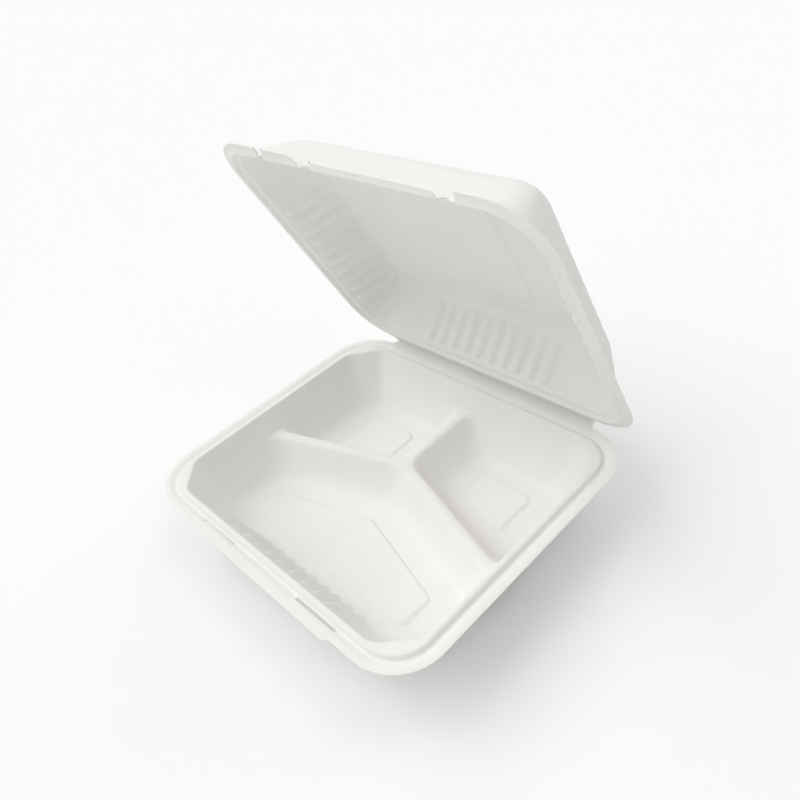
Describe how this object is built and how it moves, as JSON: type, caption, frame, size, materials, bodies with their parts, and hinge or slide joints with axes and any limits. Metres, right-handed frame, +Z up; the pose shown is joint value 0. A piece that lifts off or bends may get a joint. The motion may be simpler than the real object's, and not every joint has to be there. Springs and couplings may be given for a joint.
{
  "type": "hinged takeaway container",
  "caption": "Molded plant-fiber takeaway box with a divided base and a domed lid hinged at one side, shown standing open.",
  "frame": {"origin": "middle of the base's foot, on the surface that the box stands on", "axes": "+X along the hinge, +Y from the front with the finger tab to the hinge, +Z up"},
  "size_m": [0.2, 0.1937, 0.1938],
  "materials": {
    "base_fiber": "matte molded fiber",
    "lid_fiber": "matte molded fiber"
  },
  "bodies": {
    "base": {"base_tray": "base_fiber"},
    "lid": {"lid": "lid_fiber"}
  },
  "joints": [
    {"name": "lid_hinge", "type": "hinge", "parent": "base", "child": "lid", "pos_m": [0, 0.0905, 0.03315], "axis": [-1, 0, 0], "range_deg": [-64.5, 115.5]}
  ]
}
